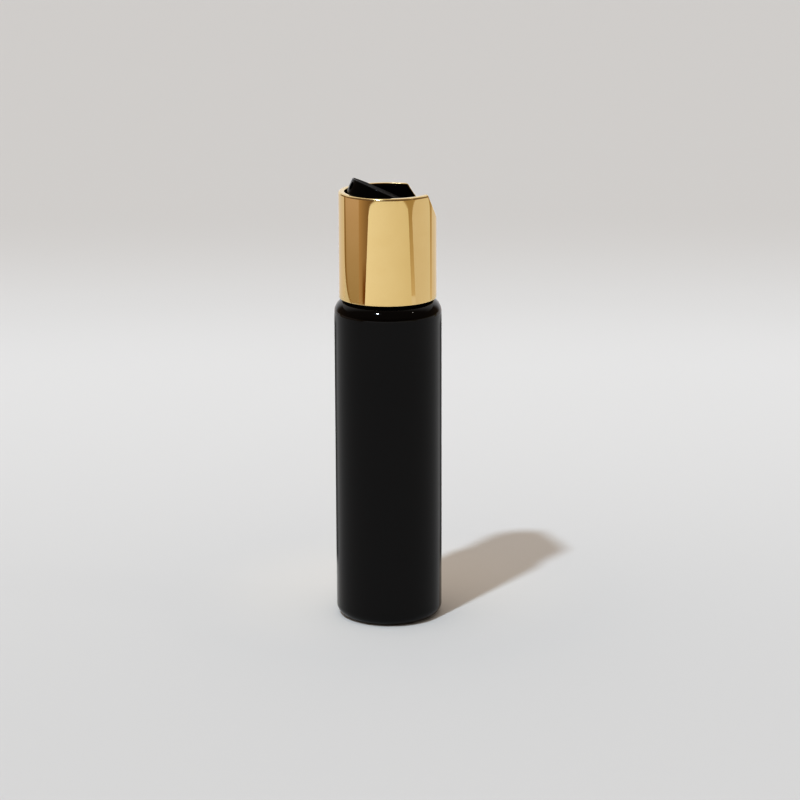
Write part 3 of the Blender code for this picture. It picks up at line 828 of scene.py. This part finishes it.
def speckle(tree, where, size, detail=2.0, stretch=(1, 1, 1)):
    """Noise with features of a real size, stretched along an axis by a small factor there."""
    placed = add(tree, "ShaderNodeMapping", {"Vector": where, "Scale": stretch})
    noise = add(tree, "ShaderNodeTexNoise", {"Vector": placed, "Scale": 1 / size, "Detail": detail})
    return noise.outputs["Fac"]


def between(tree, value, span, low=0.0, high=1.0):
    """A value mapped smoothly from one span to another."""
    ends = {"Value": value, "From Min": span[0], "From Max": span[1], "To Min": low, "To Max": high}
    return add(tree, "ShaderNodeMapRange", ends, interpolation_type="SMOOTHSTEP")


def raised(tree, height, distance, below=None):
    """A bump whose full height is a real distance, on top of another bump."""
    inputs = {"Height": height, "Distance": distance}
    if below:
        inputs["Normal"] = below
    return add(tree, "ShaderNodeBump", inputs)


def colour_mix(tree, share, first, second):
    """A colour between two others, each a hex value or a link."""
    mix = add(tree, "ShaderNodeMix", {"Factor": share}, data_type="RGBA")
    colours = {socket.name: socket for socket in mix.inputs if socket.type == "RGBA"}
    for name, colour in (("A", first), ("B", second)):
        if isinstance(colour, str):
            colours[name].default_value = hex_colour(colour)
        else:
            tree.links.new(colour, colours[name])
    return next(socket for socket in mix.outputs if socket.type == "RGBA")


print("a feature of 12 mm has a noise scale of", round(1 / (12 * MM), 1))

# %% [markdown]
# Black PET, stretch-blown in a polished mould. Its skin is almost a mirror, but it isn't perfectly even: the
# wall undulates over 10 to 20 mm, and the two mould halves leave a hairline. An IOR of 1.5 with a lowered
# specular level gives the photo's deep black, whose reflections sway a little and grow towards the sides.

# %% Black PET
PET_BAND = (0.35, 0.65)
PET_POLISH = (0.035, 0.075)
PET_WORN = 0.05
SCUFF_BAND = (0.66, 0.78)
CONTACT_HEIGHT = 1.2 * MM
SEAM_WIDTH = 0.12 * MM
SEAM_HEIGHT = 0.012 * MM
SWAY_HEIGHT = 0.035 * MM
SKIN_HEIGHT = 0.0006 * MM

BLACK_PET, tree, where = new_material("black_pet", IOR=1.5, Specular_IOR_Level=0.37)
clouds = speckle(tree, where, 9 * MM)
scuffs = speckle(tree, where, 0.5 * MM, 4.0, (1, 1, 0.12))
place = axes(tree, where)
contact = between(tree, place["Z"], (0.0, CONTACT_HEIGHT), 1.0, 0.0)
worn = maths(tree, "MAXIMUM", between(tree, scuffs, SCUFF_BAND), contact)
seam = between(tree, maths(tree, "ABSOLUTE", place["Y"]), (0.0, SEAM_WIDTH), 1.0, 0.0)
sway = raised(tree, speckle(tree, where, 14 * MM, 1.0, (1, 1, 0.5)), SWAY_HEIGHT)
skin = raised(tree, speckle(tree, where, 0.9 * MM), SKIN_HEIGHT, sway)
shade(tree, Base_Color=colour_mix(tree, clouds, "#060505", "#0a0808"),
      Normal=raised(tree, seam, SEAM_HEIGHT, skin),
      Roughness=maths(tree, "MULTIPLY_ADD", worn, PET_WORN, between(tree, clouds, PET_BAND, *PET_POLISH)))
print(BLACK_PET.name, "has", len(tree.nodes), "nodes")

# %% [markdown]
# Black polypropylene, injection moulded. It is softer and more waxy than PET, so its reflections are weak
# and blurred, and flow in the mould leaves faint clouds in the gloss. The face that a finger presses comes
# from a spark-eroded part of the tool, so it is grained and much duller than the sides. Its paler colour
# there is a painted sheen, which stands in for the grey reflection of the grain. A point is on that
# face if its normal is that of the open disc's top.

# %% Black polypropylene
PP_GLOSS = (0.11, 0.19)
PRESS_DULLNESS = 0.6
PRESS_BAND = (0.985, 0.998)
OPEN_DISC_UP = (sin(DISC_OPEN_ANGLE), 0.0, cos(DISC_OPEN_ANGLE))
FLOW_HEIGHT = 0.006 * MM
GRAIN_HEIGHT = 0.004 * MM

BLACK_POLYPROPYLENE, tree, where = new_material("black_polypropylene", IOR=1.49, Specular_IOR_Level=0.08)
clouds = speckle(tree, where, 3.5 * MM, 3.0)
grain = speckle(tree, where, 0.16 * MM, 3.0)
facing = vector_maths(tree, "DOT_PRODUCT", add(tree, "ShaderNodeTexCoord").outputs["Normal"], OPEN_DISC_UP)
press_face = between(tree, facing, PRESS_BAND)
gloss = between(tree, clouds, NOISE_BAND, *PP_GLOSS)
moulded = colour_mix(tree, clouds, "#0a0908", "#100e0c")
# The press face's paler colour is a painted sheen over the moulding's own black.
shade(tree, Base_Color=colour_mix(tree, press_face, moulded, "#242220"),
      Roughness=maths(tree, "MULTIPLY_ADD", press_face, PRESS_DULLNESS, gloss),
      Normal=raised(tree, grain, GRAIN_HEIGHT, raised(tree, clouds, FLOW_HEIGHT)))
print(BLACK_POLYPROPYLENE.name, "has", len(tree.nodes), "nodes")

# %% [markdown]
# Gold anodised aluminium. The sheet is drawn over a punch, bright dipped and anodised, and the dye sits
# under a clear oxide skin. Drawing leaves very fine streaks up the wall, which blur reflections sideways a
# little. On the lip and the bends the skin is thinner and paler. The stored wear value puts that where the
# sheet is exposed, and noise breaks it up.

# %% Gold anodised aluminium
SATIN = (0.015, 0.035)
WEAR_ROUGHNESS = 0.3
RUBBED_BAND = (0.42, 0.7)
STREAK_HEIGHT = 0.0004 * MM
DRAWN_HEIGHT = 0.004 * MM

GOLD, tree, where = new_material("gold_anodised_aluminium", Metallic=1.0)
clouds = speckle(tree, where, 6 * MM)
streaks = speckle(tree, where, 0.22 * MM, 3.0, (1, 1, 0.012))
fine = speckle(tree, where, 0.35 * MM, 4.0)
wear = add(tree, "ShaderNodeAttribute", attribute_name="wear").outputs["Fac"]
rubbed = maths(tree, "MULTIPLY", wear, between(tree, fine, RUBBED_BAND))
dyed = colour_mix(tree, clouds, "#e6cc96", "#ead29e")
satin = between(tree, streaks, NOISE_BAND, *SATIN)
shade(tree, Base_Color=colour_mix(tree, rubbed, dyed, "#f3e6c8"),
      Roughness=maths(tree, "MULTIPLY_ADD", wear, WEAR_ROUGHNESS, satin),
      Normal=raised(tree, clouds, DRAWN_HEIGHT, raised(tree, streaks, STREAK_HEIGHT)))
print(GOLD.name, "has", len(tree.nodes), "nodes")

# %% [markdown]
# The liner is white polyethylene foam between two skins. Only its cut edge shows the cells, as a fine
# pebbled surface with tiny shadows.

# %% Liner foam
CELL_SIZE = 0.3 * MM
CELL_HEIGHT = 0.05 * MM

LINER_FOAM, tree, where = new_material("liner_foam", Roughness=0.62)
cells = add(tree, "ShaderNodeTexVoronoi", {"Vector": where, "Scale": 1 / CELL_SIZE}).outputs["Distance"]
shade(tree, Base_Color=colour_mix(tree, cells, "#d9d6cf", "#eeece7"), Normal=raised(tree, cells, CELL_HEIGHT))
print(LINER_FOAM.name, "has", len(tree.nodes), "nodes")

# %% [markdown]
# Each fine piece now takes its one material, rides on the body that it belongs to and stands in for the
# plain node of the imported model.

# %% Dress the frame
FITTED = [
    (bottle, BLACK_PET, "bottle", "bottle", "black_pet"),
    (liner, LINER_FOAM, "liner", "sealing_liner", "liner_foam"),
    (closure_body, BLACK_POLYPROPYLENE, "closure", "cap_body", "black_polypropylene"),
    (shell, GOLD, "closure", "cap_shell", "gold_anodised_aluminium"),
    (disc, BLACK_POLYPROPYLENE, "disc", "press_disc", "black_polypropylene"),
]
for piece, material, body, node, slot in FITTED:
    piece.data.materials.clear()
    piece.data.materials.append(material)
    piece.data.polygons.foreach_set("material_index", [0] * len(piece.data.polygons))
    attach(piece, body)
    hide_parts(node)
    print(piece.name, "rides on", body)

# %% [markdown]
# The bottle stands on a wide pale matt table, and the same pale card runs on as the backdrop. Its tone
# rises a little behind the bottle and then falls off softly: painted light and painted shade in the card's
# colour, as on a sweep of paper that curves out of the light. Two smooth changes of colour with the distance
# behind the bottle are enough for that. A soft pale pool round the foot is a painted pool of light.

# %% Table
TABLE_HALF = 5.0
PAINTED_LIGHT_RISE = (-0.15, 0.34)
PAINTED_SHADE_FALL = (0.30, 0.66)
POOL_MIDDLE = (0, 0.02, 0)
PAINTED_LIGHT_POOL = (0.008, 0.07)
PAPER_GRAIN = 0.4 * MM
PAPER_HEIGHT = 0.02 * MM

card_stock, tree, where = new_material("matt_card", Roughness=0.9, Specular_IOR_Level=0.1)
turned_back = add(tree, "ShaderNodeMapping", {"Vector": where, "Rotation": (0, 0, -VIEW_TURN)})
behind = axes(tree, turned_back)["Y"]
from_painted_pool = vector_maths(tree, "DISTANCE", turned_back, POOL_MIDDLE)
# Painted light and shade: the card's colour is paler just behind the bottle and darker far behind it.
tone = colour_mix(tree, between(tree, behind, PAINTED_LIGHT_RISE), "#cdcdcd", "#d7d7d7")
tone = colour_mix(tree, between(tree, behind, PAINTED_SHADE_FALL), tone, "#c8c6c4")
# Painted pool of light: a paler colour round the bottle's foot.
tone = colour_mix(tree, between(tree, from_painted_pool, PAINTED_LIGHT_POOL, 1.0, 0.0), tone, "#dad8d5")
shade(tree, Base_Color=tone, Normal=raised(tree, speckle(tree, where, PAPER_GRAIN, 4.0), PAPER_HEIGHT))


def staged(name, points, faces, material):
    """A mesh that belongs to the studio and not to the bottle."""
    mesh = bpy.data.meshes.new(name)
    mesh.from_pydata(points, [], faces)
    mesh.materials.append(material)
    made = linked(name, mesh)
    return made


corners = [(x * TABLE_HALF, y * TABLE_HALF, 0) for x, y in ((-1, -1), (1, -1), (1, 1), (-1, 1))]
staged("table", corners, [(0, 1, 2, 3)], card_stock)
print("table is", 2 * TABLE_HALF, "m across")

# %% [markdown]
# A wide warm surround fills everything softly, a little more from the left. One small lamp, high on the left
# in front of the bottle, throws the shadow to the right and makes the white dots on the shoulder and the rim.
# It is far away, so a sun lamp with a real angular size stands for it. In reflections the surround is a pale
# horizon under a ceiling that is dark and warm in front of the bottle and bright behind it, where the paper
# sweep rises.

# %% Lights
HORIZON = (0.2 / 3, 0.2)
BRIGHT_SIDE = (0, 0.87, 0.5)
BRIGHT_SPAN = (0.3, 0.8)
LEFT_SIDE = (-1, -0.3, 0)
SURROUND_STRENGTH = 0.545
LEFT_GAIN = 0.16
LAMP_AIM = Vector((0, 0, 0.1))
LAMP_DISTANCE = 1.2

scene = bpy.context.scene
scene.view_settings.view_transform = "Standard"
scene.view_settings.look = "High Contrast"
world = bpy.data.worlds.new("surround")
scene.world = world
world.use_nodes = True
tree = world.node_tree
tree.nodes.clear()
direction = add(tree, "ShaderNodeTexCoord").outputs["Generated"]
climb = axes(tree, direction)["Z"]
behind, from_left = (vector_maths(tree, "DOT_PRODUCT", direction, VIEW.to_3x3() @ Vector(side))
                     for side in (BRIGHT_SIDE, LEFT_SIDE))
above = colour_mix(tree, between(tree, behind, BRIGHT_SPAN), "#75675a", "#d4d2d0")
room = colour_mix(tree, between(tree, climb, HORIZON), "#d2c8bf", above)
strength = maths(tree, "MULTIPLY_ADD", from_left, LEFT_GAIN, SURROUND_STRENGTH)
soft = add(tree, "ShaderNodeBackground", {"Color": hex_colour("#fff3e7"), "Strength": strength})
seen = add(tree, "ShaderNodeBackground", {"Color": room})
glossy = add(tree, "ShaderNodeLightPath").outputs["Is Glossy Ray"]
add(tree, "ShaderNodeOutputWorld", {"Surface": add(tree, "ShaderNodeMixShader", {0: glossy, 1: soft, 2: seen})})


def lamp(name, kind, direction, power, colour, **settings):
    """A light that faces the bottle from a direction given as right, away and up."""
    data = bpy.data.lights.new(name, kind)
    data.energy = power
    data.color = hex_colour(colour)[:3]
    for key, value in settings.items():
        setattr(data, key, value)
    toward = (VIEW.to_3x3() @ Vector(direction)).normalized()
    facing = toward.to_track_quat("Z", "Y").to_matrix().to_4x4()
    linked(name, data).matrix_world = Matrix.Translation(LAMP_AIM + toward * LAMP_DISTANCE) @ facing


lamp("key", "SUN", (-0.293, -0.452, 0.8425), power=1.45, colour="#ddefff", angle=radians(3))
lamp("fill", "AREA", (0.642, -0.179, 0.745), power=0.12, colour="#fffaf2", size=0.05)

# %% [markdown]
# A metal shows only what it reflects. The gold shell looks past the table's edge at the room: a bright
# reflector in front, a dimmer one to the right, a pale sweep and backdrop behind, and warm brown beside and
# above them. Curved cards stand there, 450 mm from the bottle, and a grey flag close behind the bottle keeps
# its dark edges, as in product photography. All of them are seen in reflections only, so they light nothing
# and hide nothing. A card's layer is how many millimetres it stands farther out than the front one.

# %% Reflected cards
CARD_DISTANCE = 450 * MM
FLAG_DISTANCE = 50 * MM
CARD_STEPS = 60
LOW_FOOT, FOOT, TOP = 0.3 * MM, 1.0 * MM, 48.8 * MM
WALL = (FOOT, 70 * MM)
ROOM = (TOP + 2 * MM, 300 * MM)


def corner_cut(share, width, height, at_left, at_right):
    """How much a rounded corner takes off a card's edge at one place along it."""
    cut = 0.0
    for rounded, away in ((at_left, share), (at_right, 1 - share)):
        if rounded and away < width:
            cut = max(cut, height * (1 - sqrt(1 - (1 - away / width) ** 2)))
    return cut


def glow(name, colours, heights, soft):
    """The light of a card. A soft one fades out by a share of its width, and by heights at foot and top."""
    material = bpy.data.materials.new(name)
    material.use_nodes = True
    tree = material.node_tree
    tree.nodes.clear()
    share = add(tree, "ShaderNodeAttribute", attribute_name="share").outputs["Fac"]
    light = add(tree, "ShaderNodeEmission", {"Color": colour_mix(tree, share, *colours)})
    if soft:
        height = axes(tree, add(tree, "ShaderNodeTexCoord").outputs["Object"])["Z"]
        shown = 1.0
        fades = ((share, 0.0, soft[0]), (share, 1.0, 1.0 - soft[0]), (height, heights[0], heights[0] + soft[1]),
                 (height, heights[1], heights[1] - soft[2]))
        for value, start, end in fades:
            ramp = ((start, end), 0.0, 1.0) if start < end else ((end, start), 1.0, 0.0)
            shown = maths(tree, "MULTIPLY", shown, between(tree, value, *ramp))
        clear = add(tree, "ShaderNodeBsdfTransparent")
        light = add(tree, "ShaderNodeMixShader", {0: shown, 1: clear, 2: light})
    add(tree, "ShaderNodeOutputMaterial", {"Surface": light})
    return material


def card(name, sides, heights, colours, layer=0, high_sides=None, top_round=None, low_round=None, upward=False,
         distance=CARD_DISTANCE, soft=None):
    """A glowing curved card. Its sides are angles from the camera's side of the bottle, to the right.

    The colours run from left to right, or from the foot upward. A rounded edge gives the share of the width
    and the height that its corners take, and whether they are at the left and at the right.
    """
    distance += layer * MM
    points, faces = [], []
    for i in range(CARD_STEPS + 1):
        share = i / CARD_STEPS
        low = heights[0] + (corner_cut(share, *low_round) if low_round else 0.0)
        high = heights[1] - (corner_cut(share, *top_round) if top_round else 0.0)
        for height, (left, right) in ((low, sides), (high, high_sides or sides)):
            angle = radians(left + (right - left) * share) + VIEW_TURN
            points.append((distance * sin(angle), -distance * cos(angle), height))
        if i:
            faces.append((2 * i - 2, 2 * i, 2 * i + 1, 2 * i - 1))
    made = staged(name, points, faces, glow(name, colours, heights, soft))
    store(made, "share", [i % 2 if upward else (i // 2) / CARD_STEPS for i in range(len(points))])
    for ray in ("camera", "diffuse", "transmission", "volume_scatter", "shadow"):
        setattr(made, "visible_" + ray, False)


card("room_above", (-180, 180), ROOM, ("#76614d", "#75675a"), layer=6, upward=True)
card("room_front", (-90, 90), ROOM, ("#56432f", "#56432f"), layer=5, soft=(0.35, 2 * MM, 200 * MM))
card("backdrop", (130, 230), (TOP, ROOM[1]), ("#d6d5d6", "#d6d5d6"), layer=4, soft=(0.2, 4 * MM, 4 * MM))
card("sweep", (126, 239), WALL, ("#c9c4c2", "#c9c4c2"), layer=4)
card("room_left_edge", (-121, -60), (LOW_FOOT, WALL[1]), ("#8f7a5c", "#8f7a5c"), layer=4,
     high_sides=(-122, -60), low_round=(0.43, 22 * MM, True, False))
card("room_left", (-114, -60), WALL, ("#9f927e", "#c1afaa"), layer=3, high_sides=(-117, -60),
     low_round=(0.39, 22 * MM, True, False), upward=True)
card("edge_left", (-71, -20), WALL, ("#a8937c", "#4d3a1c"), layer=2, high_sides=(-69, -20))
card("edge_left_foot", (-64, -30), (FOOT, 24 * MM), ("#714b19", "#714b19"), layer=1,
     soft=(0.22, 0.2 * MM, 20 * MM))
card("floor_strip", (50, 108), (LOW_FOOT, 4.5 * MM), ("#d0ced0", "#d0ced0"), layer=0.5)
card("edge_right", (20, 126), WALL, ("#c3b8a6", "#8f7d58"), layer=1, upward=True)
card("reflector", (-55, 58), (FOOT, TOP), ("#dcdcdc", "#cdcac2"), high_sides=(-45, 50),
     top_round=(0.21, 7.6 * MM, True, True))
card("reflector_right", (68.5, 118), (FOOT, TOP), ("#c8c4c2", "#cccac8"), high_sides=(59, 117.5),
     top_round=(0.28, 8 * MM, True, True))
card("flag", (124, 236), (LOW_FOOT, 85 * MM), ("#5e5e5e", "#5e5e5e"), distance=FLAG_DISTANCE,
     soft=(0.15, 6 * MM, 6 * MM))
